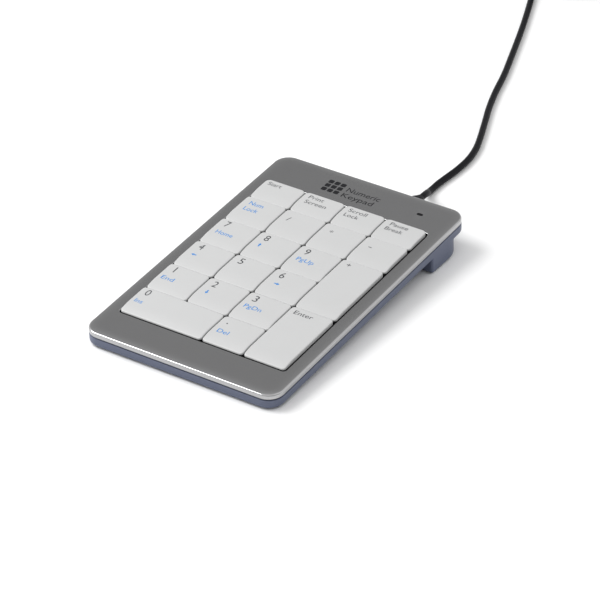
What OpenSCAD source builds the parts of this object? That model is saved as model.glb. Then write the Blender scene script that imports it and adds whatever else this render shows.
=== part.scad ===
// Numeric keypad with scissor keys, a raised rear block and a USB cable.
// The deck frame has its origin at the centre of the flat underside, +X to the
// right and +Y to the rear. The whole deck leans forward by the tilt angle, so
// that the four feet rest on the plane z = 0.

/* [Case] */
// Width of the case
case_w = 88; // [84:1:96]
// Depth of the case
case_d = 142; // [138:1:150]
// Height of the case from its flat underside to the bezel's top
case_h = 6.7; // [6.6:0.1:7]
// Corner radius of the case, seen from above
corner_r = 6.6; // [6:0.1:7.4]
// Height of the parting line between the two shells
split_z = 3.9; // [3.8:0.05:4]
// Width of the shadow line at the parting line
seam = 0.55; // [0.4:0.05:0.6]
// Thickness of the top plate
plate_t = 1.3; // [1.2:0.05:1.3]
// Thickness of the floor of the bottom shell
floor_t = 1.1; // [1:0.05:1.2]
// Thickness of the outer walls
wall = 1.3; // [1.2:0.1:1.4]
// Forward lean of the deck, in degrees
tilt = 3.2; // [2.8:0.1:3.6]

/* [Riser] */
// Front face of the rear block, measured back from the centre of the case
riser_front = 43.5; // [43:0.5:45]
// Rear face of the rear block
riser_rear = 69.5; // [69:0.1:69.8]
// Radius of the block's rear corners
riser_r = 13; // [11:0.5:14]
// Gap between the block's level underside and the table
riser_gap = 0.2; // [0.15:0.05:0.4]

/* [Keys] */
// Sideways pitch of the keys
pitch_x = 19; // [19:0.1:19.2]
// Front-to-back pitch of the full-size keys
pitch_y = 18.3; // [18.3:0.1:18.5]
// Front-to-back pitch of the short rear row
short_row = 14.4; // [14:0.1:14.6]
// Width of the plain bezel in front of the keys
front_bezel = 15.5; // [15.3:0.1:15.7]
// Part of the front row's depth left free behind the window's front edge
front_trim = 0.6; // [0.5:0.05:0.7]
// Gap between neighbouring caps, sideways
cap_gap_x = 0.5; // [0.45:0.05:0.6]
// Gap between neighbouring caps, front to back
cap_gap_y = 0.8; // [0.7:0.05:0.9]
// Clearance between the outer caps and the window
window_gap = 0.5; // [0.45:0.05:0.55]
// Height of the caps' rear edges above the flat underside
cap_top = 8.1; // [8:0.1:8.3]
// Fall of the caps' front edges below their rear edges
cap_fall = 0.9; // [0.7:0.05:1]
// Length of the curved front part of a cap
cap_curve = 6.5; // [5:0.5:7]
// Travel of a key
travel = 1.9; // [1.7:0.05:1.9]

/* [Cable] */
// Diameter of the cable
cable_d = 2.8; // [2.6:0.1:3]
// Radius of the coil at the middle of its turns
coil_r = 16.8; // [15:0.2:17]
// Turns of the coil side by side
coil_columns = 3; // [3:1:3]
// Turns of the coil on top of each other
coil_layers = 4; // [4:1:4]

/* [Feet] */
// Height of the rubber feet
foot_h = 0.9; // [0.7:0.1:1.1]
// Radius of the rubber feet
foot_r = 4; // [3:0.5:5]

/* [Hidden] */
$fn = 48;

// Name, first column, first row from the front, columns wide, rows deep.
KEYS = [
    ["key_0", 0, 0, 2, 1], ["key_dot", 2, 0, 1, 1], ["key_enter", 3, 0, 1, 2],
    ["key_1", 0, 1, 1, 1], ["key_2", 1, 1, 1, 1], ["key_3", 2, 1, 1, 1],
    ["key_4", 0, 2, 1, 1], ["key_5", 1, 2, 1, 1], ["key_6", 2, 2, 1, 1],
    ["key_plus", 3, 2, 1, 2],
    ["key_7", 0, 3, 1, 1], ["key_8", 1, 3, 1, 1], ["key_9", 2, 3, 1, 1],
    ["key_num_lock", 0, 4, 1, 1], ["key_divide", 1, 4, 1, 1],
    ["key_multiply", 2, 4, 1, 1], ["key_minus", 3, 4, 1, 1],
    ["key_start", 0, 5, 1, 1], ["key_print_screen", 1, 5, 1, 1],
    ["key_scroll_lock", 2, 5, 1, 1], ["key_pause", 3, 5, 1, 1],
];
key_rows = 5;
key_columns = 4;

// The scissor and stabiliser nodes take their key's name in place of "key_".
function suffix(name) = chr([for (i = [4 : len(name) - 1]) ord(name[i])]);
SCISSORS = [for (key = KEYS) str("scissor_", suffix(key[0]))];
WIDE_KEYS = [for (key = KEYS) if (key[3] > 1 || key[4] > 1) key];
STABILISERS = [for (key = WIDE_KEYS) str("stabiliser_", suffix(key[0]))];

// Depth by which joined solids run into each other.
sunk = 0.1;

// Lift of the deck, and the small shift that centres the leaning case.
foot_y = 60;
edge_round = 1.2;
deck_lift = foot_h + foot_y * sin(tilt);
deck_shift = (case_h - 2 * edge_round) / 2 * sin(tilt);

// Places of the keys in the deck frame.
field_front = -case_d / 2 + front_bezel;
field_left = -key_columns * pitch_x / 2;
field_rear = field_front + key_rows * pitch_y + short_row;
function is_short(key) = key[2] == key_rows;
function is_tall(key) = key[4] > 1;
function cap_w(key) = key[3] * pitch_x - cap_gap_x;
function trim(key) = key[2] == 0 ? front_trim : 0;
function cap_d(key) =
    (is_short(key) ? short_row : key[4] * pitch_y) - cap_gap_y - trim(key);
function key_x(key) = field_left + (key[1] + key[3] / 2) * pitch_x;
function key_y(key) =
    field_front + key[2] * pitch_y + trim(key) + (cap_d(key) + cap_gap_y) / 2;

// Window in the top plate.
window_w = key_columns * pitch_x - cap_gap_x + 2 * window_gap;
window_front = field_front + front_trim + cap_gap_y / 2 - window_gap;
window_rear = field_rear - cap_gap_y / 2 + window_gap;
window_r = 1.5;
lip_t = 0.8;
lip_gap = 0.1;
lip_z = 3.1;
ceiling_z = case_h - plate_t;

// Inner stack, from the floor up: steel plate, three films, domes.
steel_z = 1.6;
steel_t = 0.4;
steel_w = 79;
steel_front = field_front - 1.5;
steel_rear = field_rear + 1.5;
film_t = 0.1;
film_pitch = 0.12;
film_z = steel_z + steel_t;
film_top = film_z + 2 * film_pitch + film_t;
stake_r = 0.9;
stake_gap = 0.08;
STAKES = [for (x = [-1, 1], row = [1, 4]) [x * pitch_x, field_front + row * pitch_y]];
RIBS_X = [-30, -10, 10, 30];
rib_w = 1.6;
rib_front = field_front + 0.5;
rib_rear = riser_front - 2.5;

// Inside of a cap.
cap_bottom = 4.75;
cap_wall = 1.1;
cap_ceiling = 6.2;
cap_corner = 1;
dome_top = 5;
dome_r = 3.2;
plunger_r = 2;

// Scissor arms. The lower ends turn in hooks on the steel plate.
arm_low_z = 2.9;
arm_high_z = 5.3;
arm_pin_r = 0.4;
arm_rail = 1;
arm_rail_h = 0.7;
outer_rail_x = 6.2;
inner_rail_x = 4.8;
arm_half_long = 5.6;
arm_half_short = 3.6;
function arm_half(key) = is_short(key) ? arm_half_short : arm_half_long;
outer_hook_x = 7.3;
inner_hook_x = 3.3;
clip_x = 1.8;
running_gap = 0.06;
hook_w = 1;
hook_t = 0.4;
hook_lip_h = 0.3;

// Stabiliser wire of a wide key.
wire_r = 0.4;
wire_half = 13;
wire_reach = 7.4;
wire_bar_y = 6.9;
wire_hook_z = 3.5;
wire_high_z = 5;
wire_clip_x = 9.5;
ear_x = wire_half - 1.4;
ear_w = 0.8;
ear_d = 1.9;
ear_top = 0.65;

// Screws: [x, y] in the deck frame.
SCREWS = [[-34, -64], [0, -64], [34, -64], [-34, 56], [34, 56]];
screw_r = 0.8;
screw_head_r = 1.8;
screw_head_h = 1;
screw_seat_z = 1.4;
screw_tip_z = 5;
boss_split_z = 3;
boss_r = 2.6;
boss_gap = 0.3;

// Controller board in the rear of the case.
board_z = 1;
board_t = 1;
board_w = 56;
board_left = -26;
board_front = 52.6;
board_rear = 64.5;
light_x = 28;
light_y = 60.5;
light_w = 2.6;
light_d = 1.4;
light_gap = 0.08;
light_sink = 0.15;
diode_h = 0.8;

// Cable exit through the rear wall.
exit_x = 18.5;
exit_z = 1.9;
relief_w = 7.6;
relief_h = 5;
relief_l = 6;
neck_w = 5;
neck_h = 3.4;
neck_gap = 0.05;

// Feet: [x, y] in the deck frame.
foot_gap = 0.1;
FEET = [[-26, -foot_y], [26, -foot_y], [-33, 55], [33, 55]];

// Centreline of the cable from the case to the coil, on the table.
cable_r = cable_d / 2;
coil_x = -30;
coil_y = 304;
coil_outer_turn = coil_r + (coil_columns - 1) / 2 * cable_d;
coil_entry_angle = 201;
coil_top_turn_z = cable_r + (coil_layers - 1) * cable_d;
CABLE_ROUTE = [
    [18.5, 77, 10.4], [18.34, 79.55, 10.21], [17.88, 82.01, 9.63], [17.13, 84.28, 8.7],
    [16.11, 86.27, 7.44], [14.88, 87.92, 5.9], [13.64, 89.56, 4.36], [12.62, 91.55, 3.1],
    [11.87, 93.82, 2.17], [11.41, 96.28, 1.59], [11.25, 98.83, 1.4], [11.15, 103.1, 1.4],
    [11.35, 107.2, 1.4], [11.65, 111.5, 1.4], [11.95, 116, 1.4], [12, 120.5, 1.4],
    [11.85, 125.5, 1.4], [11.1, 131.5, 1.4], [9.55, 138, 1.4], [7.2, 144.8, 1.4],
    [4.4, 152, 1.4], [1, 160.5, 1.4], [-3, 170.5, 1.4], [-7.4, 183.5, 1.4],
    [-11.9, 199, 1.4], [-17, 214, 1.4], [-22.4, 229.5, 1.4], [-28, 245, 1.4],
    [-33.6, 259.5, 1.4], [-39.2, 273.5, 1.4], [-44.3, 286.5, 1.4],
    [coil_x + coil_outer_turn * cos(coil_entry_angle),
     coil_y + coil_outer_turn * sin(coil_entry_angle), 1.4],
];
// Short stretch from the top of the coil down to the plug.
plug_axis_z = 4;
plug_start_x = coil_x + 27;
plug_y = coil_y + coil_outer_turn;
TAIL_ROUTE = [
    [coil_x, plug_y, coil_top_turn_z], [coil_x + 6, plug_y, 9.5],
    [coil_x + 12, plug_y, 8.2], [coil_x + 18, plug_y, 6.1],
    [coil_x + 23, plug_y, 4.6], [plug_start_x, plug_y, plug_axis_z],
];
tube_sides = 8;

// Plug, a standard USB type A.
boot_l = 8;
grip_l = 21;
grip_w = 15.6;
grip_h = 8;
shell_l = 18.75;
shell_w = 12;
shell_h = 4.5;
shell_t = 0.3;
shell_buried = 3;
tongue_h = 1.9;

// ---------------------------------------------------------------- helpers

// Places a deck-frame shape in the leaning case.
module on_deck() {
    translate([0, deck_shift, deck_lift])
        rotate([tilt, 0, 0])
            children();
}

// Rounded rectangle with true arcs.
module rounded_plan(w, d, r) {
    square([w - 2 * r, d], center = true);
    square([w, d - 2 * r], center = true);
    for (x = [-1, 1], y = [-1, 1])
        translate([x * (w / 2 - r), y * (d / 2 - r)])
            circle(r);
}

module rounded_block(w, d, r, z0, z1) {
    translate([0, 0, z0])
        linear_extrude(z1 - z0)
            rounded_plan(w, d, r);
}

// Block with a shaped edge: each edge point is [inset, height].
module edged_block(w, d, r, edge) {
    last = len(edge) - 1;
    outline = concat(
        [[0, edge[0][1]]], [for (p = edge) [r - p[0], p[1]]], [[0, edge[last][1]]]);
    for (k = [0 : 3]) {
        turned = k % 2 == 1;
        half_w = (turned ? d : w) / 2 - r;
        half_d = (turned ? w : d) / 2 - r;
        rotate([0, 0, k * 90]) {
            translate([half_w, half_d, 0])
                rotate_extrude(angle = 90, $fn = 48)
                    polygon(outline);
            translate([half_w, half_d, 0])
                rotate([90, 0, 0])
                    linear_extrude(2 * half_d)
                        polygon(outline);
        }
    }
    translate([-w / 2 + r, -d / 2 + r, edge[0][1]])
        cube([w - 2 * r, d - 2 * r, edge[last][1] - edge[0][1]]);
}

// Points of a quarter round from a wall to a level face.
function quarter(r, z, up) = [
    for (a = [0 : 22.5 : 90])
        up ? [r * (1 - cos(a)), z + r * sin(a)] : [r * (1 - sin(a)), z - r * cos(a)]
];

module cylinder_at(x, y, z0, z1, r) {
    translate([x, y, z0])
        cylinder(h = z1 - z0, r = r);
}

// Cylinder along X, centred on a point.
module bar_x(x, y, z, length, r) {
    translate([x, y, z])
        rotate([0, 90, 0])
            cylinder(h = length, r = r, center = true);
}

module box_at(x, y, z, w, d, h) {
    translate([x - w / 2, y - d / 2, z])
        cube([w, d, h]);
}

// Tall keys carry their mechanism turned a quarter turn.
module at_key(key) {
    translate([key_x(key), key_y(key), 0])
        rotate([0, 0, is_tall(key) ? 90 : 0])
            children();
}

// Slot with round ends along X.
module slot_plan(w, d) {
    square([w - d, d], center = true);
    for (x = [-1, 1])
        translate([x * (w - d) / 2, 0])
            circle(d / 2, $fn = 24);
}

// ------------------------------------------------------------------- case

module window_cut() {
    translate([0, (window_front + window_rear) / 2, 0])
        rounded_block(window_w, window_rear - window_front, window_r, 0, case_h + 1);
}

// Notch in both walls for the neck of the strain relief.
module exit_notch(z0, z1) {
    reach = 3.6;
    box_at(exit_x, case_d / 2, z0, neck_w + 2 * neck_gap, 2 * reach, z1 - z0);
}

module top_case() {
    crown = 0.7;
    lip_out = wall + lip_gap;
    color([0.46, 0.46, 0.47])
        on_deck()
            difference() {
                union() {
                    difference() {
                        edged_block(case_w, case_d, corner_r,
                            concat([[0, split_z + seam]], quarter(crown, case_h - crown, true)));
                        rounded_block(case_w - 2 * wall, case_d - 2 * wall,
                            corner_r - wall, 0, ceiling_z);
                    }
                    difference() {
                        rounded_block(case_w - 2 * lip_out, case_d - 2 * lip_out,
                            corner_r - lip_out, lip_z, ceiling_z + sunk);
                        rounded_block(case_w - 2 * (lip_out + lip_t),
                            case_d - 2 * (lip_out + lip_t),
                            corner_r - lip_out - lip_t, 0, ceiling_z + 0.2);
                    }
                    difference() {
                        rounded_block(case_w - 2, case_d - 2, corner_r - 1,
                            split_z + seam, ceiling_z);
                        rounded_block(case_w - 2 * (lip_out + lip_t / 2),
                            case_d - 2 * (lip_out + lip_t / 2),
                            corner_r - lip_out - lip_t / 2, 0, ceiling_z + 1);
                    }
                    for (s = SCREWS)
                        cylinder_at(s[0], s[1], boss_split_z, ceiling_z + sunk, boss_r);
                }
                window_cut();
                for (s = SCREWS)
                    cylinder_at(s[0], s[1], boss_split_z - 1, screw_tip_z, screw_r);
                translate([light_x, light_y, 0])
                    linear_extrude(case_h + 1)
                        slot_plan(light_w + 2 * light_gap, light_d + 2 * light_gap);
                exit_notch(0, exit_z + neck_h / 2 + neck_gap);
            }
}

// Plan of the rear block: flush with the sides, round at its rear corners.
module riser_plan(inset) {
    w = case_w - 2 * inset;
    depth = riser_rear - riser_front - 2 * inset;
    r = riser_r - inset;
    translate([0, (riser_rear + riser_front) / 2]) {
        translate([0, -r / 2])
            square([w, depth - r], center = true);
        square([w - 2 * r, depth], center = true);
        for (x = [-1, 1])
            translate([x * (w / 2 - r), depth / 2 - r])
                circle(r);
    }
}

// Prism under the deck, cut level with the table at a given height.
module riser_block(inset, z1, level) {
    deep = 12;
    difference() {
        translate([0, 0, -deep])
            linear_extrude(deep + z1)
                riser_plan(inset);
        rotate([-tilt, 0, 0])
            translate([-case_w, -case_d, level - deck_lift - 2 * deep])
                cube([2 * case_w, 2 * case_d, 2 * deep]);
    }
}

// Places of the feet on the table.
module at_feet(feet) {
    for (f = feet)
        translate([f[0], f[1] * cos(tilt) + deck_shift, 0])
            children();
}

module bottom_case() {
    color([0.38, 0.40, 0.47])
        difference() {
            bottom_shell();
            // Pockets that hold the rear feet.
            at_feet([FEET[2], FEET[3]])
                translate([0, 0, -1])
                    cylinder(h = foot_h + 1, r = foot_r + foot_gap);
        }
}

module bottom_shell() {
    on_deck()
        difference() {
            union() {
                difference() {
                    union() {
                        edged_block(case_w, case_d, corner_r,
                            concat(quarter(edge_round, edge_round, false), [[0, split_z]]));
                        riser_block(0, edge_round + sunk, riser_gap);
                    }
                    rounded_block(case_w - 2 * wall, case_d - 2 * wall,
                        corner_r - wall, floor_t, split_z + 1);
                    riser_block(wall, floor_t + sunk, foot_h + floor_t);
                }
                // Ribs under the steel plate, and stakes through it.
                for (x = RIBS_X)
                    box_at(x, (rib_front + rib_rear) / 2, floor_t - sunk, rib_w,
                        rib_rear - rib_front, steel_z - floor_t + sunk);
                for (s = STAKES)
                    cylinder_at(s[0], s[1], floor_t - sunk, film_z, stake_r);
                // Screw bosses; the rear pair stand on the block's floor.
                intersection() {
                    for (s = SCREWS)
                        cylinder_at(s[0], s[1], -12, boss_split_z - boss_gap, boss_r);
                    union() {
                        rounded_block(case_w - wall, case_d - wall, corner_r - wall / 2,
                            floor_t / 2, split_z);
                        riser_block(wall / 2, floor_t, foot_h + floor_t / 2);
                    }
                }
                // Posts under the controller board.
                intersection() {
                    for (x = [-24, 0, 24])
                        cylinder_at(x, 60, -12, board_z, 1.5);
                    riser_block(wall / 2, board_z, foot_h + floor_t / 2);
                }
            }
            for (s = SCREWS) {
                cylinder_at(s[0], s[1], -12, screw_seat_z, screw_head_r + 0.3);
                cylinder_at(s[0], s[1], 0, split_z, screw_r + 0.2);
            }
            exit_notch(exit_z - neck_h / 2 - neck_gap, split_z + 1);
        }
}

module rubber_feet() {
    color([0.16, 0.16, 0.17])
        difference() {
            at_feet(FEET)
                cylinder(h = foot_h + 2, r = foot_r);
            // Cut away what would stand in the case: above the deck's underside
            // at the front, and above the tops of the pockets at the rear.
            on_deck()
                translate([-case_w, -case_d, 0])
                    cube([2 * case_w, 2 * case_d, 20]);
            translate([-case_w, 0, foot_h])
                cube([2 * case_w, case_d, 20]);
        }
}

module case_screws() {
    color([0.70, 0.70, 0.72])
        on_deck()
            for (s = SCREWS)
                difference() {
                    union() {
                        cylinder_at(s[0], s[1], screw_seat_z - screw_head_h, screw_seat_z,
                            screw_head_r);
                        cylinder_at(s[0], s[1], screw_seat_z, screw_tip_z, screw_r);
                    }
                    for (a = [0, 90])
                        translate([s[0], s[1], screw_seat_z - screw_head_h - sunk])
                            rotate([0, 0, a])
                                box_at(0, 0, 0, 2, 0.5, 0.6);
                }
}

// ------------------------------------------------------- plate and films

// Hooks that hold the lower ends of one key's scissor.
module scissor_hooks(key) {
    half = arm_half(key);
    hook_gap = arm_pin_r + running_gap;
    for (x = [-1, 1], end = [[outer_hook_x, -half, -1], [inner_hook_x, half, 1]]) {
        y = end[1] + end[2] * (hook_gap + hook_t / 2);
        box_at(x * end[0], y, film_z - sunk, hook_w, hook_t,
            arm_low_z + hook_gap + hook_lip_h + sunk - film_z + sunk);
        box_at(x * end[0], y - end[2] * hook_t, arm_low_z + hook_gap, hook_w, 3 * hook_t,
            hook_lip_h);
    }
}

// Ears that hold the ends of one stabiliser wire.
module wire_hooks() {
    for (x = [-1, 1])
        difference() {
            box_at(x * ear_x, wire_bar_y - wire_reach, film_z - sunk,
                ear_w, ear_d, wire_hook_z + ear_top - film_z + sunk);
            bar_x(x * ear_x, wire_bar_y - wire_reach, wire_hook_z,
                2 * ear_d, wire_r + running_gap);
        }
}

module base_plate() {
    color([0.22, 0.22, 0.23])
        on_deck() {
            difference() {
                translate([-steel_w / 2, steel_front, steel_z])
                    cube([steel_w, steel_rear - steel_front, steel_t]);
                for (s = STAKES)
                    cylinder_at(s[0], s[1], 0, split_z, stake_r + stake_gap);
            }
            for (key = KEYS)
                at_key(key)
                    scissor_hooks(key);
            for (key = WIDE_KEYS)
                at_key(key)
                    wire_hooks();
        }
}

// Outline of one film, with holes for the hooks of every key.
module film_plan() {
    slack = 0.3;
    difference() {
        translate([-steel_w / 2 + 1, steel_front + 1])
            square([steel_w - 2, steel_rear - steel_front - 2]);
        for (key = KEYS)
            translate([key_x(key), key_y(key)])
                rotate([0, 0, is_tall(key) ? 90 : 0]) {
                    half = arm_half(key);
                    for (x = [-1, 1], end = [[outer_hook_x, -1], [inner_hook_x, 1]])
                        translate([x * end[0], end[1] * (half + hook_t)])
                            square([hook_w + 2 * slack, 4 * hook_t], center = true);
                }
        for (key = WIDE_KEYS, x = [-1, 1])
            translate([key_x(key), key_y(key)])
                rotate([0, 0, is_tall(key) ? 90 : 0])
                    translate([x * ear_x, wire_bar_y - wire_reach])
                        square([ear_w + 2 * slack, ear_d + 2 * slack], center = true);
    }
}

module membrane() {
    tail_w = 12;
    color([0.20, 0.20, 0.21])
        on_deck() {
            // Lower and upper circuit films.
            for (level = [0, 2])
                translate([0, 0, film_z + level * film_pitch])
                    linear_extrude(film_t)
                        film_plan();
            // Spacer film, open at each contact.
            translate([0, 0, film_z + film_pitch])
                linear_extrude(film_t)
                    difference() {
                        film_plan();
                        for (key = KEYS)
                            translate([key_x(key), key_y(key)])
                                circle(2);
                    }
            // Tail of the lower film, lying on the controller board.
            translate([-tail_w / 2, steel_rear - 1.01, film_z])
                cube([tail_w, 5, film_t]);
        }
}

module rubber_domes() {
    skin = 0.35;
    color([0.90, 0.92, 0.93])
        on_deck()
            for (key = KEYS)
                translate([key_x(key), key_y(key), film_top])
                    rotate_extrude()
                        polygon([
                            [dome_r - 0.6, 0], [dome_r, 0], [dome_r, 0.3],
                            [plunger_r, dome_top - film_top - 0.5],
                            [plunger_r - 0.2, dome_top - film_top], [0, dome_top - film_top],
                            [0, 1.1], [0.8, 1.1], [0.8, dome_top - film_top - 0.9],
                            [plunger_r - skin - 0.2, dome_top - film_top - 0.9],
                        ]);
}

// ------------------------------------------------------------------- keys

// Height of a cap's top at a distance back from its front edge.
function cap_z(u) = u >= cap_curve ? cap_top : cap_top - cap_fall * pow(1 - u / cap_curve, 2);

module cap_solid(key) {
    w = cap_w(key);
    d = cap_d(key);
    steps = 6;
    profile = concat(
        [[-d / 2, cap_bottom]],
        [for (i = [0 : steps]) [-d / 2 + i * cap_curve / steps, cap_z(i * cap_curve / steps)]],
        [[d / 2 - 0.3, cap_top], [d / 2, cap_top - 0.3], [d / 2, cap_bottom]]);
    intersection() {
        rounded_block(w, d, cap_corner, cap_bottom, cap_top + 1);
        translate([-w / 2, 0, 0])
            rotate([90, 0, 90])
                linear_extrude(w)
                    polygon(profile);
    }
}

// Clips inside a cap for the scissor's two upper cross bars.
module scissor_clips(key) {
    for (x = [-1, 1], y = [-1, 1])
        difference() {
            box_at(x * clip_x, y * arm_half(key), cap_bottom, 1, 1.4,
                cap_ceiling - cap_bottom + sunk);
            bar_x(x * clip_x, y * arm_half(key), arm_high_z, 2, arm_pin_r + running_gap);
        }
}

// Slotted ribs inside a wide cap for the stabiliser's bar.
module wire_clips() {
    slot_d = 1.1;
    for (x = [-1, 1])
        difference() {
            box_at(x * wire_clip_x, wire_bar_y - 0.3, wire_high_z - wire_r - 0.25, 1, 2.2,
                cap_ceiling - wire_high_z + wire_r + 0.35);
            box_at(x * wire_clip_x, wire_bar_y, wire_high_z - wire_r - running_gap,
                2, slot_d, 2 * (wire_r + running_gap));
        }
}

module key_cap(key) {
    color([0.87, 0.87, 0.86])
        on_deck() {
            translate([key_x(key), key_y(key), 0]) {
                difference() {
                    cap_solid(key);
                    box_at(0, 0, cap_bottom - 1, cap_w(key) - 2 * cap_wall,
                        cap_d(key) - 2 * cap_wall, cap_ceiling - cap_bottom + 1);
                }
                cylinder_at(0, 0, dome_top, cap_ceiling + sunk, plunger_r);
            }
            at_key(key) {
                scissor_clips(key);
                if (key[3] > 1 || is_tall(key))
                    wire_clips();
            }
        }
}

// Inclined rail of a scissor arm: it rises towards the rear when rise is 1.
module arm_rail(x, half, rise) {
    angle = rise * atan((arm_high_z - arm_low_z) / (2 * half));
    length = 2 * half / cos(angle);
    translate([x, 0, (arm_low_z + arm_high_z) / 2])
        rotate([angle, 0, 0])
            cube([arm_rail, length, arm_rail_h], center = true);
}

module scissor(key) {
    half = arm_half(key);
    middle_z = (arm_low_z + arm_high_z) / 2;
    color([0.25, 0.25, 0.25])
        on_deck()
            at_key(key) {
                // Outer arm: hooked at the front, held by the cap at the rear.
                difference() {
                    union() {
                        for (x = [-1, 1]) {
                            arm_rail(x * outer_rail_x, half, 1);
                            bar_x(x * outer_rail_x, 0, middle_z, arm_rail, 0.9);
                            bar_x(x * (outer_rail_x + 0.85), -half, arm_low_z, 1.7, arm_pin_r);
                        }
                        bar_x(0, half, arm_high_z, 2 * outer_rail_x, arm_pin_r);
                    }
                    bar_x(0, 0, middle_z, 4 * outer_rail_x, 0.5);
                }
                // Inner arm: held by the cap at the front, hooked at the rear.
                for (x = [-1, 1]) {
                    arm_rail(x * inner_rail_x, half, -1);
                    bar_x(x * (inner_rail_x + 0.6), 0, middle_z, 2, 0.42);
                    bar_x(x * (inner_rail_x - 0.9), half, arm_low_z, 1.8, arm_pin_r);
                }
                bar_x(0, -half, arm_high_z, 2 * inner_rail_x, arm_pin_r);
            }
}

module stabiliser(key) {
    rise = asin((wire_high_z - wire_hook_z) / wire_reach);
    hinge_y = wire_bar_y - wire_reach;
    bar_y = hinge_y + wire_reach * cos(rise);
    color([0.78, 0.78, 0.80])
        on_deck()
            at_key(key) {
                bar_x(0, bar_y, wire_high_z, 2 * wire_half + 0.6, wire_r);
                for (x = [-1, 1]) {
                    translate([x * wire_half, hinge_y, wire_hook_z])
                        rotate([rise - 90, 0, 0])
                            cylinder(h = wire_reach, r = 0.37);
                    bar_x(x * (wire_half - 0.9), hinge_y, wire_hook_z, 2.5, wire_r);
                }
            }
}

// ------------------------------------------------------------ electronics

module controller_board() {
    color([0.10, 0.36, 0.22])
        on_deck()
            translate([board_left, board_front, board_z])
                cube([board_w, board_rear - board_front, board_t]);
}

module board_parts() {
    top = board_z + board_t;
    color([0.13, 0.13, 0.14])
        on_deck() {
            // Controller chip, crystal, cable header and a row of resistors.
            box_at(-12, 60, top, 7, 7, 1);
            box_at(-2, 61, top, 5, 3.2, 1.1);
            box_at(exit_x, 62, top, 9, 5, 2.6);
            for (i = [0 : 4])
                box_at(4 + i * 1.8, 57, top, 0.8, 1.6, 0.5);
            // Light-emitting diode under the light pipe.
            box_at(light_x, light_y, top, 2, 1.25, diode_h);
        }
}

module status_light() {
    color([0.55, 0.60, 0.55])
        on_deck()
            translate([light_x, light_y, board_z + board_t + diode_h])
                linear_extrude(case_h - light_sink - board_z - board_t - diode_h)
                    slot_plan(light_w, light_d);
}

// ------------------------------------------------------- cable and plug

module strain_relief() {
    relief_r = 2.2;
    rear = case_d / 2;
    color([0.12, 0.12, 0.13])
        on_deck() {
            translate([exit_x, rear, exit_z])
                hull()
                    for (x = [-1, 1], z = [-1, 1])
                        translate([x * (relief_w / 2 - relief_r), 0, z * (relief_h / 2 - relief_r)])
                            rotate([-90, 0, 0]) {
                                cylinder(h = relief_l - 1.2, r = relief_r, $fn = 24);
                                cylinder(h = relief_l, r = relief_r - 1, $fn = 24);
                            }
            // Neck through the wall, and the flange that holds it inside.
            box_at(exit_x, rear - 1.6, exit_z - neck_h / 2, neck_w, 3.2, neck_h);
            box_at(exit_x, rear - 3.4, floor_t + 0.05, neck_w + 1.6, 1,
                exit_z + neck_h / 2 + 0.3 - floor_t);
        }
}

function unit(v) = v / norm(v);

// One ring of a tube: points around a centre, square to a direction.
function ring(centre, along, r) =
    let (side = unit(cross(along, [0, 0, 1])), up = cross(side, along))
    [for (i = [0 : tube_sides - 1])
        let (a = (i + 0.5) * 360 / tube_sides)
        centre + r * (cos(a) * side + sin(a) * up)];

// Point on a smooth curve through four neighbouring route points.
function between(a, b, c, d, t) =
    0.5 * (2 * b + (c - a) * t + (2 * a - 5 * b + 4 * c - d) * t * t
        + (3 * b - a - 3 * c + d) * t * t * t);

// The route with one more point between each pair.
function smoothed(route) =
    let (last = len(route) - 1)
    concat([for (i = [0 : last - 1], t = [0, 0.5])
        between(route[max(i - 1, 0)], route[i], route[i + 1], route[min(i + 2, last)], t)],
        [route[last]]);

module tube(route, r) {
    path = smoothed(route);
    n = len(path);
    points = [for (i = [0 : n - 1])
        each ring(path[i], unit(path[min(i + 1, n - 1)] - path[max(i - 1, 0)]), r)];
    walls = [for (i = [0 : n - 2], k = [0 : tube_sides - 1])
        let (a = i * tube_sides + k, b = i * tube_sides + (k + 1) % tube_sides)
        [a, b, b + tube_sides, a + tube_sides]];
    near = [for (k = [tube_sides - 1 : -1 : 0]) k];
    far = [for (k = [0 : tube_sides - 1]) (n - 1) * tube_sides + k];
    polyhedron(points, concat(walls, [near, far]));
}

module usb_cable() {
    color([0.09, 0.09, 0.10]) {
        tube(CABLE_ROUTE, cable_r);
        tube(TAIL_ROUTE, cable_r);
    }
}

module cable_coil() {
    half = coil_columns * cable_d / 2;
    high = coil_layers * cable_d;
    soft = 1;
    color([0.09, 0.09, 0.10])
        translate([coil_x, coil_y, 0])
            rotate_extrude()
                polygon([
                    [coil_r - half + soft, 0], [coil_r + half - soft, 0],
                    [coil_r + half, soft], [coil_r + half, high - soft],
                    [coil_r + half - soft, high], [coil_r - half + soft, high],
                    [coil_r - half, high - soft], [coil_r - half, soft],
                ]);
}

module plug_body() {
    grip_x = plug_start_x + boot_l;
    chamfer = 1.5;
    color([0.11, 0.11, 0.12])
        translate([0, plug_y, plug_axis_z]) {
            translate([plug_start_x, 0, 0])
                rotate([0, 90, 0])
                    cylinder(h = boot_l + 1, r1 = 2, r2 = 3.2);
            difference() {
                translate([grip_x, 0, 0])
                    rotate([90, 0, 90])
                        linear_extrude(grip_l)
                            polygon([
                                [-grip_w / 2, -grip_h / 2 + chamfer],
                                [-grip_w / 2 + chamfer, -grip_h / 2],
                                [grip_w / 2 - chamfer, -grip_h / 2],
                                [grip_w / 2, -grip_h / 2 + chamfer],
                                [grip_w / 2, grip_h / 2 - chamfer],
                                [grip_w / 2 - chamfer, grip_h / 2],
                                [-grip_w / 2 + chamfer, grip_h / 2],
                                [-grip_w / 2, grip_h / 2 - chamfer],
                            ]);
                box_at(grip_x + grip_l, 0, -shell_h / 2, 2 * shell_buried, shell_w, shell_h);
            }
            // Insulating tongue that carries the four contacts.
            translate([grip_x + grip_l - shell_buried - sunk, -shell_w / 2 + shell_t,
                -shell_h / 2 + shell_t])
                cube([shell_l - 0.4, shell_w - 2 * shell_t, tongue_h]);
        }
}

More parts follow.
